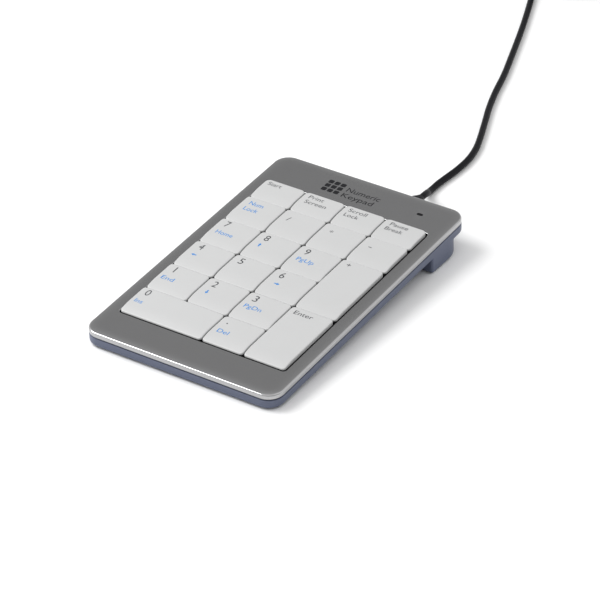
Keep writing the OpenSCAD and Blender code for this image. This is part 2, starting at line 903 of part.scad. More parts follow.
module plug_shell() {
    start_x = plug_start_x + boot_l + grip_l - shell_buried;
    latch = 2.5;
    color([0.74, 0.75, 0.77])
        translate([start_x, plug_y, plug_axis_z])
            difference() {
                box_at(shell_l / 2, 0, -shell_h / 2, shell_l, shell_w, shell_h);
                box_at(shell_l / 2, 0, -shell_h / 2 + shell_t, shell_l + 1,
                    shell_w - 2 * shell_t, shell_h - 2 * shell_t);
                for (y = [-1, 1])
                    box_at(shell_l - 7, y * 2.7, 0, latch, latch, shell_h);
            }
}

// ------------------------------------------------------------------ nodes

top_case();
bottom_case();
base_plate();
membrane();
rubber_domes();
controller_board();
board_parts();
status_light();
case_screws();
rubber_feet();
strain_relief();
usb_cable();
cable_coil();
plug_body();
plug_shell();
for (key = KEYS)
    key_cap(key);
for (i = [0 : len(KEYS) - 1])
    scissor(KEYS[i]);
for (i = [0 : len(WIDE_KEYS) - 1])
    stabiliser(WIDE_KEYS[i]);
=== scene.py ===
import math

import bmesh
import bpy
from mathutils import Matrix, Vector


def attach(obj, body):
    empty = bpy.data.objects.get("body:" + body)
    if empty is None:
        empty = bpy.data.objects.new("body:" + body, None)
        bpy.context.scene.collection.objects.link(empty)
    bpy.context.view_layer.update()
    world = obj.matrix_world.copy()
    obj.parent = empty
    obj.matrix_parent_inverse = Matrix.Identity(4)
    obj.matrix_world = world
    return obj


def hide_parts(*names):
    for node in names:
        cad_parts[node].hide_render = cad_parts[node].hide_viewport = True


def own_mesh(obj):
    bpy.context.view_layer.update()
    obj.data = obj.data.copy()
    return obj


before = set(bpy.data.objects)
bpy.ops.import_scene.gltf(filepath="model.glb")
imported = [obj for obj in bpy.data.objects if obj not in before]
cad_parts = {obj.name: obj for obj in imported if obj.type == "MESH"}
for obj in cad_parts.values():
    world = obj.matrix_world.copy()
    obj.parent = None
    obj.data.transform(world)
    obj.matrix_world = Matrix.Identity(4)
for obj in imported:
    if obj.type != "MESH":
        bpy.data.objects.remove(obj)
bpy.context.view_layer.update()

# ------------------------------------------------------------ the frame
# Lengths are in millimetres until they reach deck() or table(), which give
# metres. The deck frame is the one of the CAD source: origin at the centre of
# the case's flat underside, +X right, +Y to the rear.

MM = 0.001
TILT = math.radians(3.2)
FOOT_H = 0.9
FOOT_Y = 60
CASE_W, CASE_D, CASE_H = 88, 142, 6.7
SHELL_EDGE = 1.2
LIFT = FOOT_H + FOOT_Y * math.sin(TILT)
SHIFT = (CASE_H - 2 * SHELL_EDGE) / 2 * math.sin(TILT)
DECK_UP = Vector((0, -math.sin(TILT), math.cos(TILT)))
ROOT = "keypad"


def deck(x, y, z):
    """A point of the leaning deck, in metres."""
    return MM * Vector((
        x,
        y * math.cos(TILT) - z * math.sin(TILT) + SHIFT,
        y * math.sin(TILT) + z * math.cos(TILT) + LIFT,
    ))


def table(x, y, z):
    """A point over the table, in metres."""
    return MM * Vector((x, y, z))


# --------------------------------------------------------------- camera

CAMERA_AT = (0.57623, -0.88122, 0.67943)
CAMERA_RIGHT = Vector((0.841017, 0.541009, 0.000345)).normalized()
CAMERA_AHEAD = Vector((-0.453726, 0.705680, -0.544195)).normalized()

camera_data = bpy.data.cameras.new("camera")
camera_data.sensor_width = 36
camera_data.lens = 191.1
camera_data.clip_end = 20
camera = bpy.data.objects.new("camera", camera_data)
camera_up = CAMERA_RIGHT.cross(CAMERA_AHEAD)
camera.matrix_world = Matrix.Translation(CAMERA_AT) @ Matrix(
    (CAMERA_RIGHT, camera_up, -CAMERA_AHEAD)).transposed().to_4x4()
bpy.context.scene.collection.objects.link(camera)
bpy.context.scene.camera = camera

# ------------------------------------------------------------ materials

GLOSS_SPREAD = 0.06
# Pointiness of an edge where wear starts and where it is complete.
WEAR_START, WEAR_FULL = 0.53, 0.62


def srgb(red, green, blue):
    """Linear colour of an 8-bit display colour."""
    return tuple(
        c / 12.92 if c <= 0.04045 else ((c + 0.055) / 1.055) ** 2.4
        for c in (red / 255, green / 255, blue / 255))


def finish(name, colour, rough, metal=0.0, vary=0.05, vary_mm=8.0, grain_um=2.0,
           grain_mm=0.3, edge=0.0, coat=0.0, stretch=(1, 1, 1), ior=1.5, under=0.0):
    """A procedural finish: cloudy colour, fine grain, uneven gloss, paler worn edges."""
    mat = bpy.data.materials.new(name)
    mat.use_nodes = True
    nodes, links = mat.node_tree.nodes, mat.node_tree.links
    shader = nodes["Principled BSDF"]
    shader.inputs["Metallic"].default_value = metal
    shader.inputs["Coat Weight"].default_value = coat
    shader.inputs["IOR"].default_value = ior
    shader.inputs["Subsurface Weight"].default_value = under
    shader.inputs["Subsurface Scale"].default_value = 0.001
    where = nodes.new("ShaderNodeTexCoord")
    scaled = nodes.new("ShaderNodeMapping")
    scaled.inputs["Scale"].default_value = stretch
    links.new(where.outputs["Object"], scaled.inputs["Vector"])

    def noise(size_mm, detail):
        tex = nodes.new("ShaderNodeTexNoise")
        tex.inputs["Scale"].default_value = 1 / (size_mm * MM)
        tex.inputs["Detail"].default_value = detail
        links.new(scaled.outputs["Vector"], tex.inputs["Vector"])
        return tex.outputs["Fac"]

    cloud = nodes.new("ShaderNodeMix")
    cloud.data_type = "RGBA"
    cloud.inputs["A"].default_value = (*[c * (1 - vary) for c in colour], 1)
    cloud.inputs["B"].default_value = (*[min(1, c * (1 + vary)) for c in colour], 1)
    links.new(noise(vary_mm, 4), cloud.inputs["Factor"])
    tint = cloud.outputs["Result"]
    if edge:
        shape = nodes.new("ShaderNodeNewGeometry")
        ramp = nodes.new("ShaderNodeMapRange")
        ramp.inputs["From Min"].default_value = WEAR_START
        ramp.inputs["From Max"].default_value = WEAR_FULL
        ramp.inputs["To Max"].default_value = edge
        links.new(shape.outputs["Pointiness"], ramp.inputs["Value"])
        worn = nodes.new("ShaderNodeMix")
        worn.data_type = "RGBA"
        worn.inputs["B"].default_value = (*[min(1, c * 1.5 + 0.03) for c in colour], 1)
        links.new(ramp.outputs["Result"], worn.inputs["Factor"])
        links.new(tint, worn.inputs["A"])
        tint = worn.outputs["Result"]
    links.new(tint, shader.inputs["Base Color"])
    fine = noise(grain_mm, 2)
    gloss = nodes.new("ShaderNodeMapRange")
    gloss.inputs["To Min"].default_value = max(0.02, rough - GLOSS_SPREAD)
    gloss.inputs["To Max"].default_value = min(1, rough + GLOSS_SPREAD)
    links.new(fine, gloss.inputs["Value"])
    links.new(gloss.outputs["Result"], shader.inputs["Roughness"])
    bump = nodes.new("ShaderNodeBump")
    bump.inputs["Distance"].default_value = grain_um * 1e-6
    links.new(fine, bump.inputs["Height"])
    links.new(bump.outputs["Normal"], shader.inputs["Normal"])
    return mat


MATERIALS = {
    "bezel": finish("satin_silver", (0.43, 0.43, 0.435), 0.2, metal=1.0, vary=0.03,
                    vary_mm=14, grain_um=5, grain_mm=0.25, edge=0.25),
    "shell": finish("blue_grey_plastic", srgb(82, 89, 110), 0.45, vary=0.05,
                    grain_um=8, grain_mm=0.35, edge=0.3),
    "key_cap": finish("light_grey_plastic", (0.478, 0.480, 0.480), 0.38, vary=0.02,
                      vary_mm=9, grain_um=3, grain_mm=0.22),
    "legend_dark": finish("dark_legend_ink", srgb(52, 54, 58), 0.5, vary=0.2,
                          vary_mm=0.5, grain_um=1, grain_mm=0.1),
    "legend_blue": finish("blue_legend_ink", srgb(22, 118, 190), 0.5, vary=0.15,
                          vary_mm=0.5, grain_um=1, grain_mm=0.1),
    "steel_plate": finish("black_zinc_steel", (0.05, 0.05, 0.055), 0.42, metal=1,
                          vary=0.15, vary_mm=3, grain_um=3, grain_mm=0.4,
                          stretch=(1, 8, 8)),
    "film": finish("printed_polyester", (0.035, 0.037, 0.04), 0.3, vary=0.25, vary_mm=1.5,
                   grain_um=1, grain_mm=0.5),
    "dome_rubber": finish("silicone_rubber", (0.62, 0.66, 0.68), 0.5, vary=0.08,
                          vary_mm=2, grain_um=4, grain_mm=0.2, under=0.4),
    "scissor_plastic": finish("acetal", (0.06, 0.06, 0.062), 0.36, vary=0.05, vary_mm=2,
                              grain_um=2, grain_mm=0.15),
    "wire": finish("spring_steel", (0.55, 0.55, 0.57), 0.22, metal=1, vary=0.1,
                   vary_mm=0.6, grain_um=1, grain_mm=0.1),
    "board": finish("solder_mask", (0.012, 0.10, 0.045), 0.3, vary=0.5, vary_mm=1.2,
                    grain_um=10, grain_mm=0.6, coat=0.3),
    "chips": finish("chip_epoxy", (0.02, 0.02, 0.022), 0.55, vary=0.2, vary_mm=0.6,
                    grain_um=4, grain_mm=0.1),
    "light_pipe": finish("smoked_lens", (0.006, 0.006, 0.007), 0.3, vary=0.2, vary_mm=1,
                         grain_um=1, grain_mm=0.2, ior=1.3),
    "screws": finish("nickel_screw", (0.50, 0.50, 0.50), 0.28, metal=1, vary=0.1,
                     vary_mm=0.7, grain_um=2, grain_mm=0.15, edge=0.4),
    "foot_rubber": finish("black_rubber", (0.018, 0.018, 0.02), 0.75, vary=0.25,
                          vary_mm=1.5, grain_um=15, grain_mm=0.2, edge=0.15),
    "cable_jacket": finish("cable_pvc", (0.005, 0.005, 0.007), 0.5, vary=0.2,
                           vary_mm=4, grain_um=6, grain_mm=0.35, ior=1.2),
    "plug_grip": finish("moulded_pvc", (0.016, 0.016, 0.019), 0.5, vary=0.2, vary_mm=2,
                        grain_um=12, grain_mm=0.25, edge=0.1),
    "plug_metal": finish("nickel_plate", (0.62, 0.61, 0.59), 0.24, metal=1, vary=0.06,
                         vary_mm=3, grain_um=1.5, grain_mm=0.2, stretch=(0.2, 1, 1),
                         edge=0.2),
}
GOLD = finish("gold_contact", (0.80, 0.55, 0.22), 0.25, metal=1, vary=0.08, vary_mm=1,
              grain_um=1, grain_mm=0.2)
# Black plastic of the lip and the bosses; on the cap skirts below the deck it is painted shade.
BLACK_AND_GAP_SHADE = finish("black_plastic_and_painted_gap_shade", (0.012, 0.012, 0.014), 0.5, vary=0.2, vary_mm=3,
               grain_um=6, grain_mm=0.3)
MARK_INK = finish("black_print", (0.010, 0.010, 0.012), 0.5, vary=0.2, vary_mm=1,
                  grain_um=1, grain_mm=0.15, ior=1.22)
STRAP = finish("hook_and_loop", (0.02, 0.02, 0.022), 0.9, vary=0.3, vary_mm=0.6,
               grain_um=60, grain_mm=0.3)

# ---------------------------------------------------------- mesh helpers


def place(name, mesh, slot, body=ROOT, replaces=(), material=None, sharp=35, weighted=True):
    """Adds a mesh to the scene as a finished piece of the object."""
    mesh.materials.clear()
    mesh.materials.append(material or MATERIALS[slot])
    mesh.shade_smooth()
    mesh.set_sharp_from_angle(angle=math.radians(sharp))
    obj = bpy.data.objects.new(name, mesh)
    bpy.context.scene.collection.objects.link(obj)
    if weighted:
        obj.modifiers.new("even_shading", "WEIGHTED_NORMAL").keep_sharp = True
    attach(obj, body)
    if replaces:
        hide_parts(*replaces)
    return obj


def rounded(w, d, radii, inset=0.0, middle=(0, 0), arc=6, side=6):
    """Outline of a rounded rectangle, from its front left corner, anticlockwise.
    radii: front left, front right, rear right, rear left."""
    half_w, half_d = w / 2 - inset, d / 2 - inset
    arcs = []
    for (sx, sy), start, radius in zip(
            ((-1, -1), (1, -1), (1, 1), (-1, 1)), (180, 270, 0, 90), radii):
        r = max(radius - inset, 0.02)
        turn = [math.radians(start + 90 * k / arc) for k in range(arc + 1)]
        arcs.append([(middle[0] + sx * (half_w - r) + r * math.cos(a),
                      middle[1] + sy * (half_d - r) + r * math.sin(a)) for a in turn])
    points = []
    for i in range(4):
        points += arcs[i]
        (ax, ay), (bx, by) = arcs[i][-1], arcs[(i + 1) % 4][0]
        for j in range(1, side + 1):
            t = j / (side + 1)
            points.append((ax + (bx - ax) * t, ay + (by - ay) * t))
    return points


def add_skin(bm, loops, closed=False):
    """Skins a list of loops of equal length; ends are capped unless it is closed."""
    rows = [[bm.verts.new(p) for p in loop] for loop in loops]
    n = len(rows[0])
    pairs = list(zip(rows, rows[1:]))
    if closed:
        pairs.append((rows[-1], rows[0]))
    for low, high in pairs:
        for i in range(n):
            j = (i + 1) % n
            bm.faces.new((low[i], low[j], high[j], high[i]))
    if not closed:
        bm.faces.new(reversed(rows[0]))
        bm.faces.new(rows[-1])


def to_mesh(bm, name):
    """Mesh of a finished bmesh, with its faces turned outwards."""
    bmesh.ops.recalc_face_normals(bm, faces=bm.faces)
    mesh = bpy.data.meshes.new(name)
    bm.to_mesh(mesh)
    bm.free()
    return mesh


def skin(name, *parts, closed=False):
    """Mesh of one or more skinned lists of loops."""
    bm = bmesh.new()
    for loops in parts:
        add_skin(bm, loops, closed)
    return to_mesh(bm, name)


def circle(x, y, z, r, n=24, at=deck):
    """Loop of n points around (x, y), at height z."""
    return [at(x + r * math.cos(2 * math.pi * k / n), y + r * math.sin(2 * math.pi * k / n), z)
            for k in range(n)]


def block(x, y, z, w, d, h, at=deck):
    """Box that stands on z and is centred on (x, y)."""
    return skin("block", [[at(x + i * w / 2, y + j * d / 2, k) for i, j in
                           ((-1, -1), (1, -1), (1, 1), (-1, 1))] for k in (z, z + h)])


def cut(mesh, cutters, operation="DIFFERENCE"):
    """Boolean of a mesh with several closed meshes; returns the result."""
    base = bpy.data.objects.new("work", mesh)
    bpy.context.scene.collection.objects.link(base)
    tools = []
    for i, cutter in enumerate(cutters):
        tool = bpy.data.objects.new("tool", cutter)
        bpy.context.scene.collection.objects.link(tool)
        tools.append(tool)
        mod = base.modifiers.new("cut%d" % i, "BOOLEAN")
        mod.operation = operation
        mod.solver = "EXACT"
        mod.object = tool
    depsgraph = bpy.context.evaluated_depsgraph_get()
    result = bpy.data.meshes.new_from_object(base.evaluated_get(depsgraph))
    for obj in (base, *tools):
        bpy.data.objects.remove(obj)
    return result


# ---------------------------------------------------------------- cable

CABLE_D = 2.8
ROUTE = [
    (18.5, 77, 10.4), (18.34, 79.55, 10.21), (17.88, 82.01, 9.63), (17.13, 84.28, 8.7),
    (16.11, 86.27, 7.44), (14.88, 87.92, 5.9), (13.64, 89.56, 4.36), (12.62, 91.55, 3.1),
    (11.87, 93.82, 2.17), (11.41, 96.28, 1.59), (11.25, 98.83, 1.4), (11.15, 103.1, 1.4),
    (11.35, 107.2, 1.4), (11.65, 111.5, 1.4), (11.95, 116, 1.4), (12, 120.5, 1.4),
    (11.85, 125.5, 1.4), (11.1, 131.5, 1.4), (9.55, 138, 1.4), (7.2, 144.8, 1.4),
    (4.4, 152, 1.4), (1, 160.5, 1.4), (-3, 170.5, 1.4), (-7.4, 183.5, 1.4),
    (-11.9, 199, 1.4), (-17, 214, 1.4), (-22.4, 229.5, 1.4), (-28, 245, 1.4),
    (-33.6, 259.5, 1.4), (-39.2, 273.5, 1.4), (-44.3, 286.5, 1.4),
]
# Coil: its centre, the radius of its middle turns, and the angles in degrees
# where the cable enters and leaves. A step from one slot to the next takes
# SHIFT_ARC degrees.
COIL_X, COIL_Y, COIL_R = -30, 304, 16.8
COIL_LAYERS = 4
ENTRY_ANGLE, LEAVE_ANGLE = 201, 90
SHIFT_ARC = 40
COIL_STEP = 10
TAIL = [(-24, 323.6, 9.5), (-18, 323.6, 8.2), (-12, 323.6, 6.1), (-7, 323.6, 4.6),
        (-3, 323.6, 4)]
# The strap lifts the turns by its thickness over a short arc.
TIE_ANGLE = -60
TIE_LIFT, TIE_SPREAD = 0.45, 14


def winding():
    """Slots of the coil in order: (angle wound so far, column, layer)."""
    knots = [(0, 1, 0)]
    wound = 0
    for layer in range(COIL_LAYERS):
        columns = (1, 0, -1) if layer % 2 == 0 else (-1, 0, 1)
        shift_at = -(2 * layer + 1) * SHIFT_ARC
        for k, column in enumerate(columns):
            wound += 360
            last = k == 2
            start = wound + shift_at - (SHIFT_ARC if last else 0)
            knots.append((start, column, layer))
            if not last:
                knots.append((start + SHIFT_ARC, columns[k + 1], layer))
            elif layer < COIL_LAYERS - 1:
                knots.append((start + SHIFT_ARC, column, layer + 1))
    return knots


def coil_points():
    """Centreline of the coil, from where the cable enters to where it leaves."""
    total = 360 * (3 * COIL_LAYERS - 1) + ENTRY_ANGLE - LEAVE_ANGLE
    knots = [k for k in winding() if k[0] < total]
    knots.append((total, 1, COIL_LAYERS - 1))
    points = []
    count = int(total / COIL_STEP)
    for i in range(count + 1):
        wound = total * i / count
        for a, b in zip(knots, knots[1:]):
            if a[0] <= wound <= b[0]:
                break
        t = (wound - a[0]) / (b[0] - a[0])
        t = t * t * (3 - 2 * t)
        column = a[1] + (b[1] - a[1]) * t
        layer = a[2] + (b[2] - a[2]) * t
        angle = math.radians(ENTRY_ANGLE - wound)
        r = COIL_R + column * CABLE_D
        off = (math.degrees(angle) - TIE_ANGLE + 180) % 360 - 180
        lift = TIE_LIFT * math.exp(-(off / TIE_SPREAD) ** 2)
        points.append((COIL_X + r * math.cos(angle), COIL_Y + r * math.sin(angle),
                       CABLE_D / 2 + layer * CABLE_D + lift))
    return points


def smooth_line(points, steps):
    """Catmull-Rom curve through the points."""
    line = []
    for i in range(len(points) - 1):
        a, b, c, d = (Vector(points[min(max(k, 0), len(points) - 1)])
                      for k in (i - 1, i, i + 1, i + 2))
        for s in range(steps):
            t = s / steps
            line.append(0.5 * (2 * b + (c - a) * t + (2 * a - 5 * b + 4 * c - d) * t ** 2
                               + (3 * b - a - 3 * c + d) * t ** 3))
    line.append(Vector(points[-1]))
    return line


coil = coil_points()
lead_in = smooth_line(ROUTE + coil[:3], 4)[:4 * len(ROUTE) + 1]
tail = smooth_line(coil[-2:] + TAIL, 4)[4:]
cable_line = lead_in + [Vector(p) for p in coil[1:-1]] + tail

curve = bpy.data.curves.new("cable", "CURVE")
curve.dimensions = "3D"
curve.bevel_depth = CABLE_D / 2 * MM
curve.bevel_resolution = 5
curve.use_fill_caps = True
spline = curve.splines.new("POLY")
spline.points.add(len(cable_line) - 1)
for point, at in zip(spline.points, cable_line):
    point.co = (*(at * MM), 1)
spline.use_smooth = True
curve.materials.append(MATERIALS["cable_jacket"])
cable = bpy.data.objects.new("cable", curve)
bpy.context.scene.collection.objects.link(cable)
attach(cable, ROOT)
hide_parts("usb_cable", "cable_coil")

# Strap that holds the coil.
tie_dir = Vector((math.cos(math.radians(TIE_ANGLE)), math.sin(math.radians(TIE_ANGLE)), 0))
tie_along = Vector((-tie_dir.y, tie_dir.x, 0))
tie_middle = Vector((COIL_X, COIL_Y, 0)) + COIL_R * tie_dir


def tie_loop(along, grow):
    """Outline of the strap around the turns, grown outwards."""
    half = 1.5 * CABLE_D + 0.02 + grow
    low, high = TIE_LIFT - 0.03 - grow, TIE_LIFT + COIL_LAYERS * CABLE_D + 0.02 + grow
    outline = rounded(2 * half, high - low, (1.2,) * 4, middle=(0, (low + high) / 2), arc=5,
                      side=3)
    return [MM * (tie_middle + tie_dir * u + tie_along * along + Vector((0, 0, v)))
            for u, v in outline]


TIE_W, TIE_T = 7, 0.4
tie = place("cable_tie", skin(
    "cable_tie",
    [tie_loop(-TIE_W / 2, 0), tie_loop(-TIE_W / 2, TIE_T), tie_loop(TIE_W / 2, TIE_T),
     tie_loop(TIE_W / 2, 0)], closed=True), "cable_jacket", material=STRAP)

# -------------------------------------------------------------------- plug

PLUG_X, PLUG_Y, PLUG_Z = -3, 323.6, 4
BOOT_L, GRIP_L, GRIP_W, GRIP_H = 8, 21, 15.6, 8
SHELL_X, SHELL_L, SHELL_W, SHELL_H, SHEET = 23, 18.75, 12, 4.5, 0.3
TONGUE_T = 1.9


def across(x, w, h, r, side=3):
    """Rounded outline square to the plug's axis, at x."""
    return [table(x, PLUG_Y + u, PLUG_Z + v) for u, v in
            rounded(w, h, (r,) * 4, arc=5, side=side)]


BOOT_STEPS, BOOT_GROOVES, GROOVE_DEPTH = 24, 5, 0.32
boot = []
for k in range(BOOT_STEPS + 1):
    t = k / BOOT_STEPS
    wave = max(0, math.sin(2 * math.pi * BOOT_GROOVES * t - math.pi / 2))
    groove = GROOVE_DEPTH * wave if 0.1 < t < 0.95 else 0
    r = 1.95 + 1.2 * t - groove
    boot.append(across(PLUG_X + 0.02 + (BOOT_L + 0.3) * t, 2 * r, 2 * r, r - 0.01, side=1))
# Distance along the grip, and how far its skin lies in from its full size.
grip = []
for along, inset in ((0, 1.9), (0.25, 1.2), (0.8, 0.6), (1.6, 0.2), (2.6, 0.02), (5, 0.02),
                     (6.2, 0.35), (7.2, 0.55), (8.4, 0.35), (9.4, 0.5), (10.4, 0.55), (11.6, 0.35),
                     (12.6, 0.5), (13.6, 0.5), (14.8, 0.02), (18.6, 0.02), (19.8, 0.12),
                     (20.6, 0.4), (20.98, 0.8)):
    grip.append(across(PLUG_X + BOOT_L + along, GRIP_W - 2 * inset, GRIP_H - 2 * inset,
                       2.4 - inset * 0.6))
tongue_drop = Vector((0, 0, (SHELL_H / 2 - SHEET - TONGUE_T / 2) * MM))
tongue = [[p - tongue_drop for p in across(x, SHELL_W - 2 * SHEET - 0.1, TONGUE_T, 0.1)]
          for x in (SHELL_X - 0.5, SHELL_X + 18.35)]
plug_grip = place("plug_grip", skin("plug_grip", boot, grip, tongue), "plug_grip",
                  replaces=("plug_body",), sharp=40)

sleeve_end = SHELL_X + SHELL_L
sleeve = [across(SHELL_X, SHELL_W, SHELL_H, 0.5),
          across(sleeve_end - 0.15, SHELL_W, SHELL_H, 0.5),
          across(sleeve_end, SHELL_W - 0.2, SHELL_H - 0.2, 0.4),
          across(sleeve_end, SHELL_W - 2 * SHEET, SHELL_H - 2 * SHEET, 0.2),
          across(SHELL_X, SHELL_W - 2 * SHEET, SHELL_H - 2 * SHEET, 0.2)]
holes = [block(sleeve_end - 7, PLUG_Y + y, PLUG_Z + z, 2.5, 2.5, 1.2, table)
         for y in (-2.7, 2.7) for z in (-2.9, 1.7)]
plug_sleeve = place("plug_sleeve", cut(skin("sleeve", sleeve, closed=True), holes),
                    "plug_metal", replaces=("plug_shell",), sharp=40)
contacts = []
for y, reach in ((-3.5, 17.6), (-1, 16.6), (1, 16.6), (3.5, 17.6)):
    contacts.append([[table(x, PLUG_Y + y + u, PLUG_Z - SHELL_H / 2 + SHEET + TONGUE_T + v)
                      for u, v in rounded(1, 0.14, (0.06,) * 4, arc=3, side=1)]
                     for x in (SHELL_X + 8, SHELL_X + reach)])
plug_contacts = place("plug_contacts", skin("plug_contacts", *contacts), "plug_metal",
                      material=GOLD)

# ------------------------------------------------------------------ keys

# Each key: name, column, row, width and depth in keys.
KEYS = [
    ("key_0", 0, 0, 2, 1), ("key_dot", 2, 0, 1, 1), ("key_enter", 3, 0, 1, 2),
    ("key_1", 0, 1, 1, 1), ("key_2", 1, 1, 1, 1), ("key_3", 2, 1, 1, 1),
    ("key_4", 0, 2, 1, 1), ("key_5", 1, 2, 1, 1), ("key_6", 2, 2, 1, 1),
    ("key_plus", 3, 2, 1, 2),
    ("key_7", 0, 3, 1, 1), ("key_8", 1, 3, 1, 1), ("key_9", 2, 3, 1, 1),
    ("key_num_lock", 0, 4, 1, 1), ("key_divide", 1, 4, 1, 1),
    ("key_multiply", 2, 4, 1, 1), ("key_minus", 3, 4, 1, 1),
    ("key_start", 0, 5, 1, 1), ("key_print_screen", 1, 5, 1, 1),
    ("key_scroll_lock", 2, 5, 1, 1), ("key_pause", 3, 5, 1, 1),
]
PITCH_X, PITCH_Y, SHORT_ROW = 19, 18.3, 14.4
GAP_X, GAP_Y, FRONT_TRIM = 0.5, 0.8, 0.6
FIELD_LEFT, FIELD_FRONT = -38, -55.5
CAP_TOP, CAP_BOTTOM, CAP_FALL, CAP_CURVE = 8.1, 4.75, 0.9, 6.5
CAP_CEILING, CAP_WALL = 6.2, 1.1
CAP_EDGE, CAP_EDGE_STEPS = 0.42, 5
CAP_R, CAP_REAR_R, SHORT_CAP_REAR_R = 1.3, 1.5, 2.1
# Height of a loop on each cap's skirt; below it the skirt is painted black as shade in the gaps.
SKIRT_TOP = CASE_H - 0.1
PLUNGER_R, DOME_TOP, FILM_TOP = 2, 5, 2.34


def cap_box(key):
    """Left, front, width and depth of a cap."""
    _, column, row, wide, deep = key
    trim = FRONT_TRIM if row == 0 else 0
    depth = (SHORT_ROW if row == 5 else deep * PITCH_Y) - GAP_Y - trim
    return (FIELD_LEFT + column * PITCH_X + GAP_X / 2,
            FIELD_FRONT + row * PITCH_Y + GAP_Y / 2 + trim, wide * PITCH_X - GAP_X, depth)


def cap_height(back):
    """Height of a cap's top at a distance back from its front edge."""
    if back >= CAP_CURVE:
        return CAP_TOP
    return CAP_TOP - CAP_FALL * (1 - max(back, 0) / CAP_CURVE) ** 2


def cap_mesh(key):
    """Hollow cap with rounded edges and a plunger for the dome."""
    left, front, w, d = cap_box(key)
    middle = (left + w / 2, front + d / 2)
    rear_r = SHORT_CAP_REAR_R if key[2] == 5 else CAP_REAR_R
    radii = (CAP_R, CAP_R, rear_r, rear_r)

    def loop(inset, drop=None, z=None):
        points = rounded(w, d, radii, inset, middle, arc=6, side=16)
        return [deck(x, y, cap_height(y - front) - drop if z is None else z)
                for x, y in points]

    loops = [loop(CAP_WALL, z=CAP_CEILING), loop(CAP_WALL, z=CAP_BOTTOM),
             loop(0.15, z=CAP_BOTTOM), loop(0, z=CAP_BOTTOM + 0.15),
             loop(0, z=SKIRT_TOP), loop(0, drop=CAP_EDGE * 1.1)]
    for k in range(CAP_EDGE_STEPS + 1):
        a = math.radians(90 * k / CAP_EDGE_STEPS)
        loops.append(loop(CAP_EDGE * (1 - math.cos(a)), drop=CAP_EDGE * (1 - math.sin(a))))
    for inset in (0.6, 1.1, 1.8, 2.7, 3.8, 5.1, 6.4):
        loops.append(loop(inset, drop=0))
    plunger = [circle(*middle, z, r) for z, r in
               ((DOME_TOP, PLUNGER_R - 0.2), (DOME_TOP + 0.2, PLUNGER_R),
                (CAP_CEILING + 0.2, PLUNGER_R))]
    return skin(key[0] + "_cap", loops, plunger)


# Painted shade: below the deck the cap skirts get the black material, so that the gaps between the
# caps look dark as in shadow.
for key in KEYS:
    name = key[0]
    cap = place(name + "_cap", cap_mesh(key), "key_cap", body=name, replaces=(name,), sharp=50)
    cap.data.materials.append(BLACK_AND_GAP_SHADE)
    for face in cap.data.polygons:
        if (face.center - deck(0, 0, 0)).dot(DECK_UP) < SKIRT_TOP * MM:
            face.material_index = 1

# --------------------------------------------------------------- legends
# Each line: text, distance of its left edge from the cap's left, distance of
# its middle back from the cap's rear edge, width and cap height.

DARK, BLUE = "legend_dark", "legend_blue"
DIGIT_W, DIGIT_H, WORD_H = 2.05, 3.7, 2.3
LEGENDS = {
    "key_0": [(DARK, "0", 2.7, 2.9, DIGIT_W, DIGIT_H), (BLUE, "Ins", 1.9, 9.1, 3.5, WORD_H)],
    "key_dot": [(DARK, ".", 3.0, 2.6, 0.7, DIGIT_H), (BLUE, "Del", 2.5, 9.4, 5.0, WORD_H)],
    "key_enter": [(DARK, "Enter", 2.5, 3.1, 8.4, 2.3)],
    "key_1": [(DARK, "1", 3.8, 3.1, 0.5, DIGIT_H), (BLUE, "End", 1.9, 9.4, 5.7, WORD_H)],
    "key_2": [(DARK, "2", 3.1, 3.4, DIGIT_W, DIGIT_H), (BLUE, "down", 3.2, 9.1, 1.5, 2.4)],
    "key_3": [(DARK, "3", 3.1, 3.5, DIGIT_W, DIGIT_H), (BLUE, "PgDn", 2.4, 9.0, 7.8, WORD_H)],
    "key_4": [(DARK, "4", 3.1, 3.2, DIGIT_W, DIGIT_H), (BLUE, "left", 3.1, 9.0, 2.4, 1.5)],
    "key_5": [(DARK, "5", 3.2, 3.4, DIGIT_W, DIGIT_H)],
    "key_6": [(DARK, "6", 3.4, 3.5, DIGIT_W, DIGIT_H), (BLUE, "right", 4.3, 9.3, 2.4, 1.5)],
    "key_7": [(DARK, "7", 3.2, 3.1, DIGIT_W, DIGIT_H), (BLUE, "Home", 2.8, 9.2, 7.8, WORD_H)],
    "key_8": [(DARK, "8", 3.3, 3.4, DIGIT_W, DIGIT_H), (BLUE, "up", 3.3, 8.7, 1.5, 2.4)],
    "key_9": [(DARK, "9", 3.2, 3.4, DIGIT_W, DIGIT_H), (BLUE, "PgUp", 2.8, 8.9, 7.8, WORD_H)],
    "key_num_lock": [(BLUE, "Num", 3.3, 3.9, 6.5, 2.4), (BLUE, "Lock", 3.2, 8.1, 6.5, 2.4)],
    "key_divide": [(DARK, "/", 3.5, 5.9, 1.3, 2.6)],
    "key_multiply": [(DARK, "*", 4.0, 5.45, 1.5, 2.6)],
    "key_minus": [(DARK, "-", 3.9, 6.0, 1.5, 2.6)],
    "key_plus": [(DARK, "+", 3.1, 2.8, 1.8, 2.6)],
    "key_start": [(DARK, "Start", 2.0, 2.6, 6.3, 2.2)],
    "key_print_screen": [(DARK, "Print", 2.7, 2.6, 7.0, 2.2),
                         (DARK, "Screen", 2.8, 6.1, 10.0, 2.2)],
    "key_scroll_lock": [(DARK, "Scroll", 2.6, 2.6, 8.4, 2.2), (DARK, "Lock", 2.5, 6.1, 6.6, 2.2)],
    "key_pause": [(DARK, "Pause", 3.1, 2.6, 8.2, 2.2), (DARK, "Break", 2.7, 6.1, 8.0, 2.2)],
}
INK = 0.014
ARROWS = {"up": 0, "left": 90, "down": 180, "right": 270}


